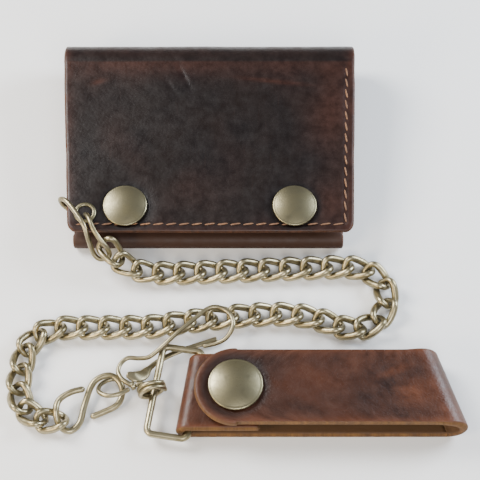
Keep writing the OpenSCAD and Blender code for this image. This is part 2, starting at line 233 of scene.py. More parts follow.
def hidePiece(name, mid, half, lift=None, edge=0.9, steps=4, uv=None, fields=None, tipOut=None,
              roundStart=True):
    # a thick sheet from its middle surface: top = middle + (half + lift) normal,
    # underside = middle - half normal.
    # The two side edges and the two ends are half round, by edge.
    rows, columns = mid.shape[:2]
    du = np.gradient(mid, axis=0)
    dv = np.gradient(mid, axis=1)
    normal = unit(np.cross(du, dv))
    lift = np.zeros((rows, columns)) if lift is None else lift
    thick = np.full((rows, columns), float(half))
    fields = dict(fields or {})
    turn = np.radians(np.array([25, 50, 70, 84.0]))

    def rounded(row, out):
        # rows that run out past an end while the thickness falls away as a cosine
        shift = np.sin(turn)[:, None, None] * edge * out[None]
        return mid[row][None] + shift, np.cos(turn)[:, None] * np.ones(columns)

    endOut = unit(mid[-1] - mid[-2]) if tipOut is None else tipOut
    more, fade = rounded(-1, endOut)
    mid = np.concatenate([mid, more])
    share = np.concatenate([np.ones((rows, columns)), fade])
    repeatEnd = lambda f: np.concatenate([f, np.repeat(f[-1:], len(turn), 0)])
    normal, thick, lift, uv = repeatEnd(normal), repeatEnd(thick), repeatEnd(lift), repeatEnd(uv)
    fields = {k: repeatEnd(f) for k, f in fields.items()}
    raw = np.concatenate([np.zeros((rows, columns)), np.repeat((turn / turn[-1])[:, None], columns, 1)])
    if roundStart:
        more, fade = rounded(0, unit(mid[0] - mid[1]))
        mid = np.concatenate([more[::-1], mid])
        share = np.concatenate([fade[::-1], share])
        repeatStart = lambda f: np.concatenate([np.repeat(f[:1], len(turn), 0), f])
        normal, thick, lift, uv = repeatStart(normal), repeatStart(thick), repeatStart(lift), repeatStart(uv)
        fields = {k: repeatStart(f) for k, f in fields.items()}
        raw = np.concatenate([np.repeat((turn / turn[-1])[::-1, None], columns, 1), raw])
    top = mid + normal * ((thick + lift) * share)[..., None]
    low = mid - normal * (thick * share)[..., None]
    a = np.radians(np.linspace(90, -90, steps + 2)[1:-1])[None, :, None]
    out = {0: unit(mid[:, 0] - mid[:, 1]), -1: unit(mid[:, -1] - mid[:, -2])}

    def sideArc(k):
        # half round from the top edge to the underside edge
        centre, reach = (top[:, k] + low[:, k]) / 2, (top[:, k] - low[:, k]) / 2
        return (centre[:, None] + reach[:, None] * np.sin(a)
                + out[k][:, None] * edge * np.cos(a) * np.maximum(share[:, k], 0.05)[:, None, None])

    ring = np.concatenate([top, sideArc(-1), low[:, ::-1], sideArc(0)[:, ::-1]], axis=1)
    count = mid.shape[0]
    onSide = np.ones((count, steps))

    def around(f):
        return np.concatenate([f, np.repeat(f[:, -1:], steps, 1), f[:, ::-1], np.repeat(f[:, :1], steps, 1)],
                              axis=1)

    data = {k: around(f) for k, f in fields.items()}
    data["rawEdge"] = np.concatenate([raw, onSide, raw[:, ::-1], onSide], axis=1)
    data["backSide"] = np.concatenate([0 * raw, onSide * 0.5, 1 + 0 * raw, onSide * 0.5], axis=1)
    width = ring.shape[1]
    quads = loopQuads(count, width)
    k = np.arange(columns - 1)
    mirror = 2 * columns + steps - 1
    strips = []
    for row, flip in ((0, 1), (count - 1, -1)):
        base = row * width
        strip = np.stack([base + k, base + mirror - k, base + mirror - k - 1, base + k + 1], 1)
        strips.append(strip[:, ::flip])
    sidesLeft = []
    for row, flip in ((0, 1), (count - 1, -1)):
        base = row * width
        right = [base + j for j in range(columns - 1, columns + steps + 1)]
        left = [base + j % width for j in range(2 * columns + steps - 1, width + 1)]
        sidesLeft += [right[::flip], left[::flip]]
    quads = np.vstack([quads, *strips])
    flatUv = around(uv[..., 0])[..., None], around(uv[..., 1])[..., None]
    return buildMesh(name, ring.reshape(-1, 3), quads, sidesLeft, data,
                     np.concatenate(flatUv, -1).reshape(-1, 2))


def place(obj, material, slot, body, *nodes):
    obj.data.materials.append(material)
    if body:
        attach(obj, body)
    if nodes:
        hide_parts(*nodes)
    return obj


# ---- materials ----
def startMaterial(name):
    material = bpy.data.materials.new(name)
    material.use_nodes = True
    tree = material.node_tree
    return material, tree, tree.nodes["Principled BSDF"]


def addNode(tree, kind, settings=None, **inputs):
    node = tree.nodes.new(kind)
    for key, value in (settings or {}).items():
        setattr(node, key, value)
    for key, value in inputs.items():
        socket = node.inputs[key.replace("_", " ")]
        if isinstance(value, bpy.types.NodeSocket):
            tree.links.new(value, socket)
        else:
            socket.default_value = value
    return node


def mixColour(tree, factor, first, second, blend="MIX"):
    node = tree.nodes.new("ShaderNodeMix")
    node.data_type = "RGBA"
    node.blend_type = blend
    for socket, value in ((node.inputs[0], factor), (node.inputs[6], first), (node.inputs[7], second)):
        if isinstance(value, bpy.types.NodeSocket):
            tree.links.new(value, socket)
        else:
            socket.default_value = value
    return node.outputs[2]


def mathNode(tree, operation, first, second=0.0, clamp=False):
    node = tree.nodes.new("ShaderNodeMath")
    node.operation = operation
    node.use_clamp = clamp
    for socket, value in ((node.inputs[0], first), (node.inputs[1], second)):
        if isinstance(value, bpy.types.NodeSocket):
            tree.links.new(value, socket)
        else:
            socket.default_value = value
    return node.outputs[0]


def rampNode(tree, factor, stops):
    node = tree.nodes.new("ShaderNodeValToRGB")
    tree.links.new(factor, node.inputs[0])
    band = node.color_ramp
    while len(band.elements) < len(stops):
        band.elements.new(0.5)
    for element, (at, colour) in zip(band.elements, stops):
        element.position = at
        element.color = (*colour, 1) if len(colour) == 3 else colour
    return node.outputs[0]


def grey(v):
    return (v, v, v)


leatherLooks = {
    "walletHide": {"deep": (0.0030, 0.0015, 0.0016), "body": (0.0062, 0.0030, 0.0022),
                   "warm": (0.036, 0.0100, 0.0048),
                   "raw": (0.10, 0.036, 0.014), "flesh": (0.040, 0.017, 0.009), "grain": 9.0, "bump": 0.30,
                   "rough": (0.30, 0.50), "scuff": 0.55},
    "pocketHide": {"deep": (0.014, 0.006, 0.0036), "body": (0.034, 0.014, 0.0078),
                   "warm": (0.07, 0.028, 0.014),
                   "raw": (0.14, 0.065, 0.026), "flesh": (0.06, 0.028, 0.015), "grain": 14.0, "bump": 0.3,
                   "rough": (0.55, 0.72), "scuff": 0.25},
    "strapHide": {"deep": (0.0085, 0.0028, 0.0018), "body": (0.036, 0.0105, 0.0042),
                  "warm": (0.098, 0.028, 0.0085),
                  "raw": (0.17, 0.080, 0.021), "flesh": (0.075, 0.038, 0.014), "grain": 12.0, "bump": 0.6,
                  "rough": (0.33, 0.52), "scuff": 0.5},
}


def leatherMaterial(name):
    look = leatherLooks[name]
    material, tree, shader = startMaterial(name)
    hide = addNode(tree, "ShaderNodeUVMap", {"uv_map": "hide"}).outputs[0]
    wear = addNode(tree, "ShaderNodeAttribute", {"attribute_name": "wear"}).outputs["Fac"]
    shadeAndPress = addNode(tree, "ShaderNodeAttribute", {"attribute_name": "shadeAndPress"}).outputs["Fac"]
    raw = addNode(tree, "ShaderNodeAttribute", {"attribute_name": "rawEdge"}).outputs["Fac"]
    back = addNode(tree, "ShaderNodeAttribute", {"attribute_name": "backSide"}).outputs["Fac"]
    clouds = addNode(tree, "ShaderNodeTexNoise", Vector=hide, Scale=0.45, Detail=5.0,
                     Roughness=0.55).outputs[0]
    blotches = addNode(tree, "ShaderNodeTexNoise", Vector=hide, Scale=2.3, Detail=6.0,
                       Roughness=0.65).outputs[0]
    pores = addNode(tree, "ShaderNodeTexVoronoi", {"feature": "SMOOTH_F1"}, Vector=hide, Scale=look["grain"],
                    Smoothness=0.6).outputs[0]
    fine = addNode(tree, "ShaderNodeTexNoise", Vector=hide, Scale=26.0, Detail=4.0, Roughness=0.7).outputs[0]
    combed = addNode(tree, "ShaderNodeMapping", Vector=hide)
    combed.inputs["Rotation"].default_value = (0, 0, 0.5)
    combed.inputs["Scale"].default_value = (0.35, 7.0, 1)
    scratches = addNode(tree, "ShaderNodeTexNoise", Vector=combed.outputs[0], Scale=1.5, Detail=3.0,
                        Roughness=0.5, Distortion=0.6).outputs[0]
    scratch = rampNode(tree, scratches, [(0.66, grey(0)), (0.70, grey(1)), (0.74, grey(0))])
    base = rampNode(tree, clouds, [(0.36, look["deep"]), (0.62, look["body"])])
    patchy = mathNode(tree, "MULTIPLY", rampNode(tree, blotches, [(0.42, grey(0)), (0.66, grey(1))]), 0.42)
    base = mixColour(tree, patchy, base, (*look["body"], 1))
    worn = mathNode(tree, "MULTIPLY", wear,
                    rampNode(tree, blotches, [(0.30, grey(0.35)), (0.62, grey(1.0))]), True)
    base = mixColour(tree, worn, base, (*look["warm"], 1))
    nicked = mathNode(tree, "MULTIPLY", scratch, look["scuff"] * 0.16)
    base = mixColour(tree, nicked, base, (*look["warm"], 1))
    # painted shade round the snap caps, and pressed leather round the strap's cap, darken towards the deep
    # tone
    base = mixColour(tree, mathNode(tree, "MULTIPLY", shadeAndPress, 0.75), base, (*look["deep"], 1))
    base = mixColour(tree, mathNode(tree, "MULTIPLY", back, 0.8), base, (*look["flesh"], 1))
    fibre = addNode(tree, "ShaderNodeTexNoise", Vector=hide, Scale=7.0, Detail=6.0, Roughness=0.8).outputs[0]
    fibreTone = rampNode(tree, fibre, [(0.36, tuple(v * 0.45 for v in look["raw"])), (0.62, look["raw"])])
    edgeMask = mathNode(tree, "MULTIPLY", raw,
                        rampNode(tree, blotches, [(0.34, grey(0.45)), (0.58, grey(1))]), True)
    base = mixColour(tree, edgeMask, base, fibreTone)
    tree.links.new(base, shader.inputs["Base Color"])
    low, high = look["rough"]
    rough = addNode(tree, "ShaderNodeMapRange", Value=blotches, From_Min=0.3, From_Max=0.7, To_Min=low,
                    To_Max=high)
    rough = mathNode(tree, "ADD", rough.outputs[0], mathNode(tree, "MULTIPLY", raw, 0.3))
    rough = mathNode(tree, "ADD", rough, mathNode(tree, "MULTIPLY", back, 0.25), True)
    tree.links.new(rough, shader.inputs["Roughness"])
    height = mathNode(tree, "ADD", mathNode(tree, "MULTIPLY", pores, 0.55),
                      mathNode(tree, "MULTIPLY", fine, 0.45))
    height = mathNode(tree, "ADD", height, mathNode(tree, "MULTIPLY", scratch, -0.05))
    height = mathNode(tree, "ADD", height, mathNode(tree, "MULTIPLY", blotches, 0.8))
    bump = addNode(tree, "ShaderNodeBump", Height=height, Strength=look["bump"], Distance=0.00022)
    tree.links.new(bump.outputs[0], shader.inputs["Normal"])
    shader.inputs["Specular IOR Level"].default_value = 0.34
    shader.inputs["Coat Weight"].default_value = 0.06
    shader.inputs["Coat Roughness"].default_value = 0.35
    return material


metalLooks = {
    "chainNickel": {"bright": (0.37, 0.32, 0.20), "dull": (0.22, 0.185, 0.105), "dark": (0.030, 0.019, 0.009),
                    "rough": (0.31, 0.43), "grain": 900, "bump": 0.25},
    "capNickel": {"bright": (0.28, 0.25, 0.155), "dull": (0.195, 0.172, 0.100), "dark": (0.05, 0.036, 0.018),
                  "rough": (0.30, 0.44), "grain": 1500, "bump": 0.35},
}


def metalMaterial(name):
    look = metalLooks[name]
    material, tree, shader = startMaterial(name)
    shader.inputs["Metallic"].default_value = 1.0
    here = addNode(tree, "ShaderNodeTexCoord").outputs["Object"]
    paintedShade = addNode(tree, "ShaderNodeAttribute", {"attribute_name": "paintedShade"}).outputs["Fac"]
    clouds = addNode(tree, "ShaderNodeTexNoise", Vector=here, Scale=190.0, Detail=4.0,
                     Roughness=0.6).outputs[0]
    specks = addNode(tree, "ShaderNodeTexNoise", Vector=here, Scale=float(look["grain"]), Detail=3.0,
                     Roughness=0.7).outputs[0]
    base = rampNode(tree, clouds, [(0.35, look["dull"]), (0.60, look["bright"])])
    pits = rampNode(tree, specks, [(0.30, grey(1)), (0.40, grey(0))])
    # painted shade from the per-point shade attribute, plus small dark pits, mixes the colour towards the
    # dark tone
    shadeAndPits = mathNode(tree, "ADD", mathNode(tree, "MULTIPLY", paintedShade, 0.85),
                    mathNode(tree, "MULTIPLY", pits, 0.35))
    shadeAndPits = mathNode(tree, "MULTIPLY", shadeAndPits, rampNode(tree, clouds, [(0.3, grey(1)), (0.7, grey(0.55))]), True)
    base = mixColour(tree, shadeAndPits, base, (*look["dark"], 1))
    tree.links.new(base, shader.inputs["Base Color"])
    low, high = look["rough"]
    rough = addNode(tree, "ShaderNodeMapRange", Value=clouds, From_Min=0.3, From_Max=0.7, To_Min=high,
                    To_Max=low)
    rough = mathNode(tree, "ADD", rough.outputs[0], mathNode(tree, "MULTIPLY", shadeAndPits, 0.2), True)
    tree.links.new(rough, shader.inputs["Roughness"])
    height = mathNode(tree, "ADD", mathNode(tree, "MULTIPLY", specks, 0.5), clouds)
    bump = addNode(tree, "ShaderNodeBump", Height=height, Strength=look["bump"], Distance=0.00006)
    tree.links.new(bump.outputs[0], shader.inputs["Normal"])
    return material


def threadMaterial():
    material, tree, shader = startMaterial("waxedThread")
    here = addNode(tree, "ShaderNodeTexCoord").outputs["Object"]
    twist = addNode(tree, "ShaderNodeTexNoise", Vector=here, Scale=1600.0, Detail=3.0).outputs[0]
    patch = addNode(tree, "ShaderNodeTexNoise", Vector=here, Scale=120.0, Detail=2.0).outputs[0]
    light = rampNode(tree, twist, [(0.35, (0.115, 0.050, 0.022)), (0.65, (0.27, 0.135, 0.062))])
    base = mixColour(tree, rampNode(tree, patch, [(0.4, grey(0)), (0.62, grey(0.6))]), light,
                     (0.11, 0.055, 0.032, 1))
    tree.links.new(base, shader.inputs["Base Color"])
    shader.inputs["Roughness"].default_value = 0.75
    bump = addNode(tree, "ShaderNodeBump", Height=twist, Strength=0.5, Distance=0.0001)
    tree.links.new(bump.outputs[0], shader.inputs["Normal"])
    return material


def floorMaterial():
    material, _, shader = startMaterial("paleTable")
    shader.inputs["Base Color"].default_value = (0.86, 0.86, 0.855, 1)
    shader.inputs["Roughness"].default_value = 0.8
    return material


walletHide = leatherMaterial("walletHide")
pocketHide = leatherMaterial("pocketHide")
strapHide = leatherMaterial("strapHide")
chainNickel = metalMaterial("chainNickel")
capNickel = metalMaterial("capNickel")
waxedThread = threadMaterial()
print("materials made")

# ---- wallet hide: back, rolled spine and cover in one piece ----
wallet = {"spineY": 31, "spineR": 10.5, "leather": 2, "tilt": 6.3, "coverLen": 70.3, "corner": 4,
          "spineHalf": 55, "hemHalf": 51.3, "foldHalf": 49, "foldY": -37.6, "foldR": 3.3, "hemShift": 1,
          "capX": (-29.8, 31.1), "capDown": 60.3, "eyeletX": -44.1, "eyeletDown": 63, "columns": 150}
tilt = np.radians(wallet["tilt"])
coverAlong = np.array([0, -np.cos(tilt), -np.sin(tilt)])
coverUp = np.array([0, -np.sin(tilt), np.cos(tilt)])
spineAxis = np.array([0, wallet["spineY"], wallet["spineR"]])


def onCover(x, down, height=0.0):
    # a point on the cover: its axis + the outer radius and height along the normal + the distance down it
    x, down, height = np.broadcast_arrays(*(np.asarray(v, float) for v in (x, down, height)))
    return (spineAxis + x[..., None] * np.array([1, 0, 0]) + down[..., None] * coverAlong
            + (wallet["spineR"] + height)[..., None] * coverUp)


def panelHalf(y):
    share = (wallet["spineY"] - y) / (wallet["spineY"] - wallet["foldY"])
    return wallet["spineHalf"] + (wallet["foldHalf"] - wallet["spineHalf"]) * share


def coverHalf(down):
    # straight sides that draw in towards the hem, and two round corners
    w = wallet
    half = w["spineHalf"] + (w["hemHalf"] - w["spineHalf"]) * down / w["coverLen"]
    inside = np.clip(w["corner"] - (w["coverLen"] - down), 0, w["corner"])
    return half - w["corner"] + np.sqrt(w["corner"] ** 2 - inside ** 2)


def ripple(a, b, seed):
    # a few crossed sine waves of different lengths: soft, uneven hide, between about -1 and 1
    total = 0
    for k, (fa, fb) in enumerate(((0.045, 0.07), (0.11, 0.05), (0.07, 0.16), (0.21, 0.12))):
        total = (total + np.sin(fa * a + 1.7 * k + seed) * np.sin(fb * b + 2.3 * k + 0.6 * seed)
                 / (1 + 0.5 * k))
    return total / 2.4


def bump2(a, b, atA, atB, sizeA, sizeB, turn=0.0):
    # a single soft hill with an elliptical foot
    c, s = np.cos(turn), np.sin(turn)
    da, db = a - atA, b - atB
    return np.exp(-((c * da + s * db) / sizeA) ** 2 - ((c * db - s * da) / sizeB) ** 2)


def makeOuterHide():
    w = wallet
    half = w["leather"] / 2
    edge = 0.8
    radius = w["spineR"] - half
    yBack = np.linspace(w["foldY"] + 0.05, w["spineY"], 52)
    angle = np.linspace(-np.pi / 2, np.pi / 2 + tilt, 34)[1:]
    down = np.concatenate([np.linspace(0, w["coverLen"] - 5, 74)[1:],
                           w["coverLen"] - edge - (5 - edge)
                           * (1 - np.sin(np.linspace(0, np.pi / 2, 12)[1:]))])
    path = np.concatenate([
        np.stack([yBack, np.full_like(yBack, half)], 1),
        np.stack([w["spineY"] + radius * np.cos(angle), w["spineR"] + radius * np.sin(angle)], 1),
        onCover(0, down, -half)[:, 1:]])
    downAll = np.concatenate([np.full(len(yBack) + len(angle), -1.0), down])
    yAll = path[:, 0]
    isBack = np.arange(len(path)) < len(yBack)
    halfWidth = np.where(isBack, panelHalf(yAll), w["spineHalf"])
    halfWidth = np.where(downAll > 0, coverHalf(np.maximum(downAll, 0)), halfWidth)
    shift = np.where(downAll > 0, w["hemShift"] * downAll / w["coverLen"], 0)
    s = np.concatenate([[0], np.cumsum(np.linalg.norm(np.diff(path, axis=0), axis=1))])
    v = np.linspace(-1, 1, w["columns"])
    wobble = 0.18 * np.sin(s / 6.1) + 0.12 * np.sin(s / 2.9 + 1)
    reach = (halfWidth - edge - 0.12 + 0.6 * np.minimum(wobble, 0))[:, None]
    x = shift[:, None] + reach * v[None]
    mid = np.stack([x, path[:, :1] + 0 * x, path[:, 1:] + 0 * x], -1)
    ss = s[:, None] + 0 * x
    dd = downAll[:, None] + 0 * x
    onFront = np.clip((dd + 2) / 6, 0, 1) * (dd > -0.5)
    lift = 0.22 * ripple(x, ss, 0.4)
    lift = lift + onFront * (0.30 * bump2(x, dd, -8, 30, 26, 16) - 0.26 * bump2(x, dd, 0, 47, 20, 9))
    # creases near the crest, a scrape, and nicks at the left
    lift = lift - onFront * 0.35 * bump2(x, dd, -9.5, 7, 5.5, 0.7, 1.15)
    lift = lift - onFront * 0.22 * bump2(x, dd, -14, 12, 5.0, 0.6, 0.95)
    lift = lift - onFront * 0.16 * bump2(x, dd, 24, 9, 12, 0.6, 0.12)
    lift = lift - onFront * 0.18 * bump2(x, dd, -41, 9, 2.6, 0.7, -0.3)
    # painted shade: a darker ring just outside each cap, beside the dent in the hide
    shadeAndPress = 0 * x
    for capX in w["capX"]:
        away = np.hypot(x - capX, dd - w["capDown"])
        lift = lift - onFront * 0.30 * np.exp(-((away - 8.5) / 2.6) ** 2) - onFront * 0.25 * (away < 8)
        shadeAndPress = shadeAndPress + onFront * np.exp(-((away - 8.6) / 1.3) ** 2)
    sewn = onFront * np.exp(-((x - (halfWidth[:, None] + shift[:, None] - 3.3)) / 0.7) ** 2) * (dd < 68)
    sewn = sewn + np.exp(-((dd - (w["coverLen"] - 3.0)) / 0.7) ** 2) * (np.abs(x) < 49)
    lift = lift - 0.22 * sewn
    lift = lift * np.clip((np.minimum(reach - np.abs(x - shift[:, None]), 3)) / 3 + 0.25, 0, 1)
    lift = np.clip(lift, -0.75, 0.45)
    lift = np.where(isBack[:, None], 0, lift)
    crest = np.exp(-((dd - 0.5) / 6.5) ** 2) * (dd > -0.5) + np.exp(-((ss - s[len(yBack) + 16]) / 11) ** 2)
    sideNear = np.exp(-(reach - np.abs(x - shift[:, None])) / 1.6)
    hemNear = np.where(dd > 0, np.exp(-(w["coverLen"] - dd) / 1.8), 0)
    wear = (0.75 * crest * (0.7 + 0.5 * ripple(x, ss, 3.0)) + 0.75 * sideNear + 0.7 * hemNear
            + 0.35 * onFront * np.clip(ripple(x * 1.6, ss * 1.3, 5.2), 0, 1)
            + 0.5 * onFront * bump2(x, dd, 46, 20, 6, 26) + 0.55 * onFront * bump2(x, dd, 44, 60, 10, 9))
    wear = wear + onFront * 0.7 * (bump2(x, dd, 24, 9, 12, 0.8, 0.12) + bump2(x, dd, -41, 9, 3, 1.0, -0.3))
    uv = np.stack([ss / 10, x / 10], -1)
    obj = hidePiece("walletHideOuter", mid, half, lift, edge, 4, uv,
                    {"wear": np.clip(wear, 0, 1), "shadeAndPress": np.clip(shadeAndPress, 0, 1)}, roundStart=False)
    place(obj, walletHide, "outer_leather", None, "back_panel", "spine_fold", "cover_panel")
    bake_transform(obj)


makeOuterHide()
print("outer hide made")

# ---- the front layer that folds up from the bottom, and the layers inside ----
inner = {"length": 58, "thin": 1.2, "inset": 2, "pocketLen": 56, "columns": 110}


def makeInnerHide():
    w = wallet
    half = w["leather"] / 2
    edge = 0.7
    radius = w["foldR"] - half
    angle = np.linspace(-np.pi / 2, -3 * np.pi / 2, 20)
    farY = w["foldY"] + inner["length"]
    y = np.concatenate([np.linspace(w["foldY"], farY - edge, 60)[1:]])
    path = np.concatenate([
        np.stack([w["foldY"] + radius * np.cos(angle), w["foldR"] + radius * np.sin(angle)], 1),
        np.stack([y, np.full_like(y, 2 * w["foldR"] - half)], 1)])
    isFold = np.arange(len(path)) < len(angle)
    halfWidth = np.where(isFold, w["foldHalf"], panelHalf(path[:, 0]) - 0.5) - edge - 0.1
    s = np.concatenate([[0], np.cumsum(np.linalg.norm(np.diff(path, axis=0), axis=1))])
    v = np.linspace(-1, 1, inner["columns"])
    x = halfWidth[:, None] * v[None]
    mid = np.stack([x, path[:, :1] + 0 * x, path[:, 1:] + 0 * x], -1)
    ss = s[:, None] + 0 * x
    lift = (np.clip(0.22 * ripple(x, ss, 2.0), -0.3, 0.25)
            * np.clip((halfWidth[:, None] - np.abs(x)) / 3, 0, 1))
    wear = 0.85 * np.exp(-((ss - 3.5) / 3.6) ** 2) + 0.6 * np.exp(-(halfWidth[:, None] - np.abs(x)) / 1.4)
    uv = np.stack([ss / 10 + 20, x / 10], -1)
    obj = hidePiece("walletHideInner", mid, half, lift, edge, 4, uv,
                    {"wear": np.clip(wear, 0, 1), "shadeAndPress": 0 * x}, roundStart=False)
    place(obj, walletHide, "outer_leather", None, "bottom_fold", "inner_panel")
    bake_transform(obj)


def makeFlatLayer(name, farY, nearY, insetX, zMid, half, body, node, seed):
    # a plain thin layer between two lines across the wallet, with softened edges
    edge = 0.35
    y = np.linspace(farY - edge, nearY + edge, 46)
    reach = panelHalf(y) - insetX - edge
    x = reach[:, None] * np.linspace(-1, 1, 70)[None]
    mid = np.stack([x, y[:, None] + 0 * x, zMid + 0 * x], -1)[::-1]
    uv = np.stack([mid[..., 1] / 10 + seed, x[::-1] / 10], -1)
    wear = np.exp(-(reach[::-1, None] - np.abs(x[::-1])) / 1.2)
    obj = hidePiece(name, mid, half, None, edge, 3, uv, {"wear": wear, "shadeAndPress": 0 * x})
    place(obj, pocketHide, "pocket_leather", body, node)


def makeLining():
    w = wallet
    edge = 0.35
    down = np.linspace(3 * inner["inset"] + edge, w["coverLen"] - inner["inset"] - edge, 60)
    reach = coverHalf(down) - inner["inset"] - edge
    shift = w["hemShift"] * down / w["coverLen"]
    x = shift[:, None] + reach[:, None] * np.linspace(-1, 1, 80)[None]
    mid = onCover(x, down[:, None] + 0 * x, -w["leather"] - inner["thin"] / 2 - 0.01)
    uv = np.stack([down[:, None] / 10 + 40 + 0 * x, x / 10], -1)
    wear = np.exp(-(reach[:, None] - np.abs(x - shift[:, None])) / 1.2)
    obj = hidePiece("coverLining", mid, inner["thin"] / 2, None, edge, 3, uv, {"wear": wear, "shadeAndPress": 0 * x})
    place(obj, pocketHide, "pocket_leather", "cover", "cover_lining")


makeInnerHide()
makeFlatLayer("billDivider", wallet["spineY"], wallet["foldY"], 2, 2.6, 0.6, "wallet", "bill_divider", 60)
makeFlatLayer("cardPockets", wallet["foldY"] + inner["pocketLen"], wallet["foldY"], 2, 4.0, 0.6, "inner_flap",
              "inner_pockets", 80)
makeLining()
print("inner layers made")

# ---- stitching ----
stitch = {"pitch": 4.6, "length": 3.8, "width": 0.66, "height": 0.45, "slant": 9}


def stitchRow(name, centres, along, up, body):
    # each stitch is a capsule: x = half length times cos, section shrinks as a circle towards both ends
    n = len(centres)
    side = np.cross(up, along)
    slant = np.radians(stitch["slant"])
    lean = along * np.cos(slant) + side * np.sin(slant)
    across = np.cross(up, lean)
    t = np.linspace(-0.98, 0.98, 9)
    fat = np.sqrt(1 - np.abs(t) ** 3.2)
    a = np.arange(8) * np.pi / 4
    shape = (t[:, None, None] * stitch["length"] / 2 * np.array([1, 0, 0])
             + (fat[:, None] * np.cos(a) * stitch["width"] / 2)[..., None] * np.array([0, 1, 0])
             + (fat[:, None] * np.sin(a) * stitch["height"] / 2)[..., None] * np.array([0, 0, 1]))
    grid = shape.reshape(-1, 3)
    turned = (grid[None, :, :1] * lean[:, None] + grid[None, :, 1:2] * across[:, None]
              + grid[None, :, 2:] * up[:, None])
    points = (centres[:, None] + turned).reshape(-1, 3)
    rows, sides = len(t), len(a)
    quads = (loopQuads(rows, sides)[None] + (np.arange(n) * rows * sides)[:, None, None]).reshape(-1, 4)
    caps = []
    for k in range(n):
        base = k * rows * sides
        caps += [[base + j for j in range(sides)][::-1],
                 [base + (rows - 1) * sides + j for j in range(sides)]]
    obj = buildMesh(name, points, quads, caps)
    return place(obj, waxedThread, "pocket_leather", body)


def makeStitching():
    w = wallet
    one = lambda vector, count: np.repeat(np.array(vector, float)[None], count, 0)
    down = np.arange(5.0, w["coverLen"] - 4.5, stitch["pitch"])
    xRight = coverHalf(down) + w["hemShift"] * down / w["coverLen"] - 3.3
    stitchRow("stitchCoverSide", onCover(xRight, down, -0.12), one(coverAlong, len(down)),
              one(coverUp, len(down)), "cover")
    x = np.arange(-46.5, 49.0, stitch["pitch"]) + 1.2
    stitchRow("stitchCoverHem", onCover(x, w["coverLen"] - 3.0 + 0 * x, -0.12), one((1, 0, 0), len(x)),
              one(coverUp, len(x)), "cover")
    y = np.arange(w["foldY"] + 4, w["foldY"] + inner["length"] - 3, stitch["pitch"])
    for name, sign in (("stitchInnerLeft", -1), ("stitchInnerRight", 1)):
        at = np.stack([sign * (panelHalf(y) - 3.8), y, 0 * y + 2 * w["foldR"] + 0.05], 1)
        stitchRow(name, at, one((0, -1, 0), len(y)), one((0, 0, 1), len(y)), "inner_flap")


makeStitching()
print("stitching made")

# ---- snaps and eyelet ----
snap = {"capD": 15.9, "capH": 2.2, "rim": 0.8, "loopCapD": 18.6, "loopCapH": 2.6}


def domeProfile(diameter, height, rim):
    # a shallow ball top down to a rolled rim, then flat underneath
    r = diameter / 2
    rise = height - rim
    ball = (r * r + rise * rise) / (2 * rise)
    reach = np.linspace(0.03, 0.93, 18) * r
    top = np.stack([reach, height - ball + np.sqrt(ball ** 2 - reach ** 2)], 1)
    edgeTop = top[-1, 1]
    a = np.radians(np.linspace(80, -90, 9))
    curl = r - reach[-1]
    roll = np.stack([reach[-1] + curl * np.cos(a), edgeTop / 2 + edgeTop / 2 * np.sin(a)], 1)
    # the second array is painted shade: none over the dome, rising over the rolled rim to full underneath
    return (np.vstack([top, roll, [[0.05, 0.0]]]),
            np.concatenate([np.zeros(18), np.linspace(0, 1, 9) ** 1.5, [1]]))


def coverPlace(x, down, height):
    return (onCover(x, down, height), np.array([1, 0, 0]), coverAlong * -1, coverUp)


def makeSnaps():
    w = wallet
    # the dome's second array is painted shade under the rim
    profile, paintedShade = domeProfile(snap["capD"], snap["capH"], snap["rim"])
    obj = turnedPiece("coverSnapCaps", profile, 72,
                      [coverPlace(x, w["capDown"], 0.0) for x in w["capX"]], paintedShade)
    place(obj, capNickel, "nickel", "cover", "cover_caps")
    flange, bore, thick = 4.1, 2.6, 0.7
    body = w["leather"] + inner["thin"]
    ring = [(bore, 0.3), (bore + 0.25, 0.6), (3.2, thick), (3.8, 0.55), (flange, 0.25), (flange, 0.02),
            (3.28, 0.0), (3.28, -body), (flange, -body - 0.02), (flange, -body - 0.3), (3.8, -body - 0.6),
            (3.2, -body - thick), (bore + 0.25, -body - 0.6), (bore, -body - 0.3)]
    a = np.arange(48) * 2 * np.pi / 48
    pr = np.array(ring)
    centre = onCover(w["eyeletX"], w["eyeletDown"], 0.0)
    points = (centre + (pr[:, :1] * np.cos(a))[..., None] * np.array([1, 0, 0])
              + (pr[:, :1] * np.sin(a))[..., None] * -coverAlong + (pr[:, 1:] + 0 * a)[..., None] * coverUp)
    # painted shade: darker along the profile from the upper flange to the lower one under the leather
    obj = buildMesh("chainEyelet", points.reshape(-1, 3), loopQuads(len(ring), 48, True), [],
                    {"paintedShade": np.repeat(np.linspace(0.1, 0.5, len(ring)), 48)})
    place(obj, capNickel, "nickel", "cover", "eyelet")
    studY = w["spineY"] - w["capDown"] * np.cos(tilt) - w["spineR"] * np.sin(tilt)
    stud = [(0.05, 2.2), (1.2, 2.2), (1.8, 2.1), (2.1, 1.8), (2.1, 1.4), (1.8, 1.0), (2.4, 0.8), (3.6, 0.7),
            (4.0, 0.4), (4.0, 0.0), (0.05, 0.0)]
    top = 2 * w["foldR"]
    # painted shade: darker down the stud towards its base
    obj = turnedPiece("innerSnapStuds", stud, 40,
                      [((x, studY, top), (1, 0, 0), (0, 1, 0), (0, 0, 1)) for x in w["capX"]],
                      np.linspace(0, 0.6, len(stud)))
    place(obj, capNickel, "nickel", "inner_flap", "inner_studs")


makeSnaps()
print("snaps and eyelet made")

# ---- chain ----
link = {"halfLen": 5.1, "halfWidth": 3.2, "twist": 1.9, "wire": 2.1, "fuller": 0.27,
        "plain": 3, "power": 2.4, "count": 38}
joints = {j["name"]: j for j in frame["joints"]}


def linkLine():
    # x and y run round a superellipse, and z falls and rises twice a turn
    t = np.linspace(0, 2 * np.pi, 60, endpoint=False)
    curve = lambda v: np.sign(v) * np.abs(v) ** (2 / link["power"])
    return np.stack([link["halfLen"] * curve(np.cos(t)), link["halfWidth"] * curve(np.sin(t)),
                     -link["twist"] * np.sin(2 * t)], 1)


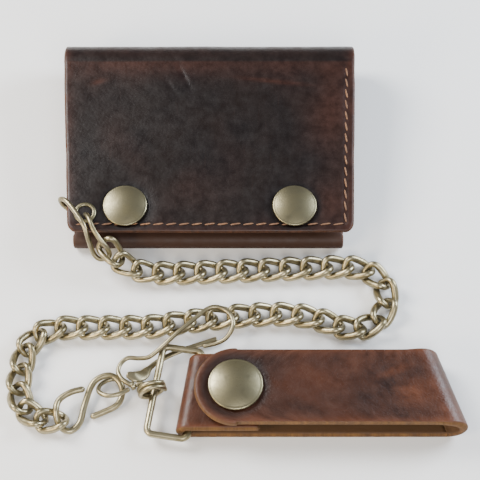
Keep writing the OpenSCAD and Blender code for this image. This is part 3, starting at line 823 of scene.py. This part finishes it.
def makeChain():
    names = ["link_%02d" % (n + 1) for n in range(link["count"])]
    pins = [np.array(joints[n + "_joint"]["pos_m"]) / mm for n in names + ["s_hook"]]
    line = linkLine()
    # the wire is a little fuller along both free sides: radius + fuller * sin(t)^4
    t = np.linspace(0, 2 * np.pi, len(line), endpoint=False)
    thickness = link["wire"] / 2 + link["fuller"] * np.sin(t) ** 4
    # the first few, which hang at a tilt beside one another, keep the plain wire
    for n, name in enumerate(names):
        radius = thickness if n >= link["plain"] else link["wire"] / 2
        step = pins[n + 1] - pins[n]
        x = step / np.linalg.norm(step)
        y = unit(np.cross([0, 0, 1], x))
        turned = (line[:, :1] * x + line[:, 1:2] * y + line[:, 2:] * np.cross(x, y)
                  + (pins[n] + pins[n + 1]) / 2)
        obj = wirePiece("chainLink%02d" % (n + 1), turned, radius, closed=True, sides=12,
                        up=np.cross(x, y), wander=0.06 * np.sin(2.1 * n))
        place(obj, chainNickel, "nickel", name, name)


makeChain()
print("chain made")

# ---- hooks and rings: routes as in the part, in mm ----
connector = {"radius": 0.9, "route": [
    (-42.4, -36.2, 16.3), (-40.6, -40.4, 15.9), (-38.1, -43.7, 13.8), (-35.8, -45.5, 10.9),
    (-35.3, -46.8, 7.3),
    (-38.5, -47.5, 6.4), (-40.8, -46.2, 8), (-42.3, -43.2, 12), (-43.7, -39.6, 15.8), (-46.8, -34.6, 16.7),
    (-50.6, -29.4, 16.5), (-53.2, -27, 14), (-52.6, -27.3, 10.6), (-49.4, -29.1, 8.7), (-46.5, -31, 8.8),
    (-44.7, -32.3, 10.6), (-43.9, -33.3, 13.8)]}
hook = {"radius": 1.1, "route": [
    (-41.5, -97, 4.6), (-46, -98.4, 5), (-49.9, -101.2, 5), (-50.8, -105.2, 5), (-49.8, -109.3, 2.2),
    (-46.3, -111.2, 1.4), (-43.1, -108.4, 1.3), (-41.6, -102.2, 2.2), (-39.6, -95.6, 3.2), (-37, -92.6, 3.6),
    (-33, -91.7, 3.7), (-29.7, -94.2, 3.3), (-28.9, -98, 2.2), (-30.6, -101.8, 1.6), (-35, -104.2, 1.4),
    (-39.4, -106.2, 1.4)]}
clip = {"radius": 0.8, "collarAt": (-25.9, -96.2, 4.6), "collarTurn": 20, "collarLen": 1.6, "collarR": 1.5,
        "frame": [(-1.5, -80.6, 3.7), (3.5, -79.7, 4.4), (6.8, -78.2, 5.6), (9.1, -74.3, 7.2), (8, -70, 7.4),
                  (4.5, -67.4, 7.4), (0.6, -67.6, 7.4), (-4.5, -71.8, 7.4), (-10.7, -77.6, 7.4),
                  (-16.5, -83, 6.3),
                  (-20, -85.6, 5.6), (-23.5, -85.8, 5), (-27.2, -85.6, 4.8), (-29.6, -87.6, 4.7),
                  (-30.4, -90.6, 4.9), (-29.2, -93.4, 5.4), (-27, -95.2, 5.5), (-25.2, -95.9, 5.2)],
        "eye": [(-26.2, -97, 4.4), (-30, -99.2, 5), (-34, -99.6, 4.8), (-36.9, -97.4, 3.4), (-36.4, -94, 1.6),
                (-33, -91.9, 1), (-29, -92.4, 1.2), (-26.6, -94.4, 2.6), (-26, -95.5, 3.7)],
        "tail": [(-24.3, -96.1, 4.5), (-23.2, -95.2, 4.6), (-21.6, -95.3, 4.7), (-20.7, -96.8, 4.7),
                 (-20.9, -98.6, 4.7)]}
gate = {"halfWidth": 1.0, "halfHeight": 0.5, "tab": 1.2, "route": [
    (3.5, -76.9, 1.8), (-5.3, -80, 1.8), (-11.9, -82.6, 1.8), (-17.2, -85.7, 1.8), (-20, -88.5, 2.4),
    (-22, -91.2, 3.2), (-24.5, -92.4, 4.4), (-27.5, -91.6, 4.8)]}
splitRing = {"at": (-18.6, -97.4, 5.2), "radius": 4.3, "wire": 1.7, "turn": 18, "lead": 1.75}
rectRing = {"long": 32.5, "wide": 14, "bend": 2.2, "wire": 2.4}


def makeConnector():
    line = splineThrough(connector["route"], 8, closed=True)
    obj = wirePiece("eyeletConnector", line, connector["radius"], closed=True, up=(0.62, 0.62, 0.48))
    place(obj, chainNickel, "nickel", "connector", "connector")


def makeHook():
    obj = wirePiece("sHookWire", splineThrough(hook["route"], 16), hook["radius"], count=130, up=(0, 0, 1))
    place(obj, chainNickel, "nickel", "s_hook", "s_hook")


def makeClip():
    pieces = [("clipBodyWire", clip["frame"], 120, (0, 0, 1)),
              ("clipEyeWire", clip["eye"], 70, (0.25, 0.5, 0.83)),
              ("clipTailWire", clip["tail"], 40, (0, 0, 1))]
    for name, route, count, up in pieces:
        obj = wirePiece(name, splineThrough(route, 16), clip["radius"], count=count, up=up)
        place(obj, chainNickel, "nickel", "clip", "clip_frame")
    turn = np.radians(clip["collarTurn"])
    x = np.array([np.cos(turn), np.sin(turn), 0])
    y = np.array([-np.sin(turn), np.cos(turn), 0])
    r, length = clip["collarR"], clip["collarLen"]
    sleeve = [(0.05, 0), (r - 0.4, 0), (r - 0.1, 0.12), (r, 0.4), (r - 0.08, length / 2), (r, length - 0.4),
              (r - 0.1, length - 0.12), (r - 0.4, length), (0.05, length)]
    # painted shade: darker at both ends of the collar, where the wires run in
    obj = turnedPiece("clipCollar", sleeve, 30, [(clip["collarAt"], y, np.array([0, 0, 1.0]), x)],
                      np.array([0.8, 0.7, 0.3, 0.1, 0.0, 0.1, 0.3, 0.7, 0.8]))
    place(obj, chainNickel, "nickel", "clip", "clip_frame")
    swell = lambda t: 1 + gate["tab"] * np.where(
        t > 0.72, np.sin(np.pi * np.clip((t - 0.72) / 0.28, 0, 1)), 0)
    obj = wirePiece("clipGateStrip", splineThrough(gate["route"], 16), gate["halfWidth"], count=90,
                    flat=gate["halfHeight"], wide=swell, up=(0, 0, 1))
    place(obj, chainNickel, "nickel", "clip_gate", "clip_gate")


def makeRings():
    t = np.linspace(0, 4 * np.pi, 130)
    turn = np.radians(splitRing["turn"])
    out = np.array([np.cos(turn), np.sin(turn), 0])
    axis = np.array([-np.sin(turn), np.cos(turn), 0])
    r = splitRing["radius"]
    line = (np.array(splitRing["at"]) + r * np.cos(t)[:, None] * out
            + r * np.sin(t)[:, None] * np.array([0, 0, 1])
            + (splitRing["lead"] * (t / (2 * np.pi) - 1))[:, None] * axis)
    obj = wirePiece("splitRingWire", line, splitRing["wire"] / 2, count=130, up=axis)
    place(obj, chainNickel, "nickel", "split_ring", "split_ring")
    k = rectRing
    hx, hy, b = k["wide"] / 2 - k["bend"], k["long"] / 2 - k["bend"], k["bend"]
    corners = [(hx, hy, 0), (-hx, hy, 90), (-hx, -hy, 180), (hx, -hy, 270)]
    bits = []
    for cx, cy, first in corners:
        a = np.radians(first + np.linspace(0, 90, 10))
        bits.append(np.stack([cx + b * np.cos(a), cy + b * np.sin(a)], 1))
    flat = np.concatenate(bits)
    nextPoint = np.roll(flat, -1, 0)
    gaps = np.linalg.norm(nextPoint - flat, axis=1) > 3
    dense = [flat[i] + (nextPoint[i] - flat[i]) * np.linspace(0, 1, 14)[:-1, None]
             if gaps[i] else flat[i:i + 1]
             for i in range(len(flat))]
    flat = np.vstack(dense)
    skew = np.radians(strap["leftSkew"])
    along = np.array([np.sin(skew), np.cos(skew), 0])
    across = np.array([np.cos(skew), -np.sin(skew), 0])
    centre = np.array([strap["barX"], strap["midY"], strap["barFoldR"]]) - across * k["wide"] / 2
    line = centre + flat[:, :1] * across + flat[:, 1:] * along
    obj = wirePiece("loopRing", line, k["wire"] / 2, closed=True, sides=18, up=(0, 0, 1))
    place(obj, chainNickel, "nickel", "rect_ring", "rect_ring")


# ---- belt loop strap ----
strap = {"width": 28, "midY": -99.2, "thick": 3, "leftSkew": 9, "rightSkew": 18, "barX": -3.8,
         "barFoldR": 4.28, "rightX": 77, "foldR": 6.5, "tabEnd": 18, "studX": 10, "columns": 56}


def strapBase():
    # bottom layer from the wide fold to the ring, the turn round the ring's bar, and the tab back over it
    k = strap
    half, edge = k["thick"] / 2, 0.9
    psi = np.linspace(-1, 1, k["columns"])
    y = k["midY"] + (k["width"] / 2 - edge) * psi
    right = k["rightX"] - (y - k["midY"]) * np.tan(np.radians(k["rightSkew"]))
    left = k["barX"] + (y - k["midY"]) * np.tan(np.radians(k["leftSkew"]))
    r = k["barFoldR"] - half
    stretch = 1 / np.cos(np.radians(k["leftSkew"]))
    u = np.linspace(0, 1, 62)[:, None]
    bottom = np.stack([right + (left - right) * u, y + 0 * u, half + 0 * u * y], -1)
    a = np.linspace(-np.pi / 2, -3 * np.pi / 2, 18)[1:-1, None]
    turn = np.stack([left + r * stretch * np.cos(a), y + 0 * a, k["barFoldR"] + r * np.sin(a) + 0 * y], -1)
    u = np.linspace(0, 1, 20)[:, None]
    tab = np.stack([left + (k["tabEnd"] - edge - left) * u, y + 0 * u,
                    2 * k["barFoldR"] - half + 0 * u * y], -1)
    mid = np.concatenate([bottom, turn, tab])
    s = np.concatenate([[0], np.cumsum(np.linalg.norm(np.diff(mid[:, k["columns"] // 2], axis=0), axis=1))])
    ss, yy = s[:, None] + 0 * y, y + 0 * s[:, None]
    sideNear = np.exp(-(k["width"] / 2 - edge - np.abs(yy - k["midY"])) / 1.2)
    folded = np.exp(-((ss - s[62 + 8]) / 6) ** 2)
    wear = 0.8 * sideNear + 0.7 * folded + 0.3 * np.clip(ripple(ss, yy * 2, 1.5), 0, 1)
    uv = np.stack([ss / 10, yy / 10], -1)
    obj = hidePiece("strapHideBase", mid, half, None, edge, 4, uv,
                    {"wear": np.clip(wear, 0, 1), "shadeAndPress": 0 * wear}, roundStart=False)
    place(obj, strapHide, "strap_leather", "strap", "strap_base")


def strapFlap():
    # the wide fold, then the top layer to its half round tip
    k = strap
    half, edge = k["thick"] / 2, 0.9
    psi = np.radians(np.linspace(90, -90, k["columns"]))
    tipR = k["width"] / 2
    y = k["midY"] + (tipR - edge) * np.sin(psi)
    right = k["rightX"] - (y - k["midY"]) * np.tan(np.radians(k["rightSkew"]))
    tipX = k["studX"] - (tipR - edge) * np.cos(psi)
    r = k["foldR"] - half
    stretch = 1 / np.cos(np.radians(k["rightSkew"]))
    a = np.linspace(-np.pi / 2, np.pi / 2, 24)[:, None]
    fold = np.stack([right + r * stretch * np.cos(a), y + 0 * a, k["foldR"] + r * np.sin(a) + 0 * y], -1)
    u = (np.sin(np.linspace(0, 1, 78) * np.pi / 2) * 0.25 + np.linspace(0, 1, 78) * 0.75)[1:, None]
    top = np.stack([right + (tipX - right) * u, y + 0 * u, 2 * k["foldR"] - half + 0 * u * y], -1)
    mid = np.concatenate([fold, top])
    xx, yy = mid[..., 0], mid[..., 1]
    s = np.concatenate([[0], np.cumsum(np.linalg.norm(np.diff(mid[:, k["columns"] // 2], axis=0), axis=1))])
    ss = s[:, None] + 0 * xx
    onTop = np.clip((ss - 14) / 4, 0, 1)
    away = np.hypot(xx - k["studX"], yy - k["midY"])
    sideNear = np.exp(-(tipR - edge - np.abs(yy - k["midY"])) / 1.3)
    tipNear = onTop * np.where(xx < k["studX"], np.exp(-(tipR - edge - away) / 1.3), 0)
    lift = (0.16 * ripple(ss * 1.4, yy * 2, 2.2) - 0.30 * np.exp(-((away - 9.6) / 1.6) ** 2)
            - 0.3 * (away < 9.2))
    lift = lift + 0.22 * bump2(xx, yy, 46, -97, 12, 7) - 0.20 * bump2(xx, yy, 62, -93, 5, 0.8, 0.5)
    lift = lift - 0.14 * bump2(xx, yy, 56, -103, 6, 0.7, -0.3)
    lift = lift * np.clip((tipR - edge - np.abs(yy - k["midY"])) / 2.5 + 0.15, 0, 1)
    lift = np.clip(lift, -0.6, 0.3)
    wear = (0.75 * np.maximum(sideNear, tipNear) + 0.5 * (1 - onTop)
            + 0.5 * np.clip(ripple(xx * 1.7, yy * 3, 4), 0, 1)
            + 0.7 * bump2(xx, yy, 69, -102, 6, 5) + 0.5 * bump2(xx, yy, 64, -94, 7, 1.4, 0.4))
    # painted shade: a darker ring just outside the cap, which is also pressed leather, and a darker patch by
    # the ring's bar
    shadeAndPress = 0.9 * np.exp(-((away - 10.4) / 1.6) ** 2) + 0.35 * bump2(xx, yy, 2, -99, 8, 12)
    uv = np.stack([ss / 10 + 20, yy / 10], -1)
    tipOut = np.stack([-np.cos(psi), np.sin(psi), 0 * psi], 1)
    obj = hidePiece("strapHideFlap", mid, half, lift, edge, 4, uv,
                    {"wear": np.clip(wear, 0, 1), "shadeAndPress": np.clip(shadeAndPress, 0, 1)}, tipOut=tipOut,
                    roundStart=False)
    place(obj, strapHide, "strap_leather", None, "strap_fold", "strap_flap")
    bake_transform(obj)


def strapSnap():
    k = strap
    top = 2 * k["foldR"]
    # the dome's second array is painted shade under the rim
    profile, paintedShade = domeProfile(snap["loopCapD"], snap["loopCapH"], snap["rim"])
    up = ((k["studX"], k["midY"], top), (1, 0, 0), (0, 1, 0), (0, 0, 1))
    obj = turnedPiece("strapSnapCap", profile, 80, [up], paintedShade)
    place(obj, capNickel, "nickel", "strap_flap", "strap_cap")
    low = 2 * k["barFoldR"]
    socket = [(2.15, top - 0.1), (2.9, top - 0.1), (2.9, top - 3.2), (2.7, top - 3.5), (2.3, top - 3.5),
              (2.15, top - 3.3)]
    a = np.arange(32) * 2 * np.pi / 32
    pr = np.array(socket)
    points = np.stack([k["studX"] + pr[:, :1] * np.cos(a), k["midY"] + pr[:, :1] * np.sin(a),
                       pr[:, 1:] + 0 * a], -1)
    # painted shade: the socket evenly darkened by 0.3
    obj = buildMesh("strapSnapSocket", points.reshape(-1, 3), loopQuads(len(socket), 32, True), [],
                    {"paintedShade": np.full(len(socket) * 32, 0.3)})
    place(obj, capNickel, "nickel", "strap_flap", "strap_cap")
    post = [(0.05, low + 2.6), (1.4, low + 2.6), (2.0, low + 2.3), (2.1, low + 1.9), (1.9, low + 1.3),
            (2.05, low + 0.6), (4.2, low + 0.5), (4.5, low + 0.3), (4.5, low), (1.3, low - 0.02),
            (1.3, low - 3.0), (3.5, low - 3.02), (3.5, low - 3.4), (3.2, low - 3.5), (0.05, low - 3.5)]
    # painted shade: darker down the stud towards its base
    obj = turnedPiece("strapSnapStud", post, 40,
                      [((k["studX"], k["midY"], 0), (1, 0, 0), (0, 1, 0), (0, 0, 1))],
                      np.linspace(0.1, 0.6, len(post)))
    place(obj, capNickel, "nickel", "strap", "strap_stud")


makeConnector()
makeHook()
makeClip()
makeRings()
print("hooks and rings made")
strapBase()
strapFlap()
strapSnap()
print("belt loop made")


# ---- floor ----
def makeFloor():
    size = 3000
    mesh = bpy.data.meshes.new("floor")
    mesh.from_pydata([(x * size * mm, y * size * mm, -0.05 * mm)
                      for x, y in ((-1, -1), (1, -1), (1, 1), (-1, 1))],
                     [], [(0, 1, 2, 3)])
    obj = bpy.data.objects.new("floor", mesh)
    bpy.context.collection.objects.link(obj)
    mesh.materials.append(floorMaterial())


makeFloor()
bpy.context.view_layer.update()
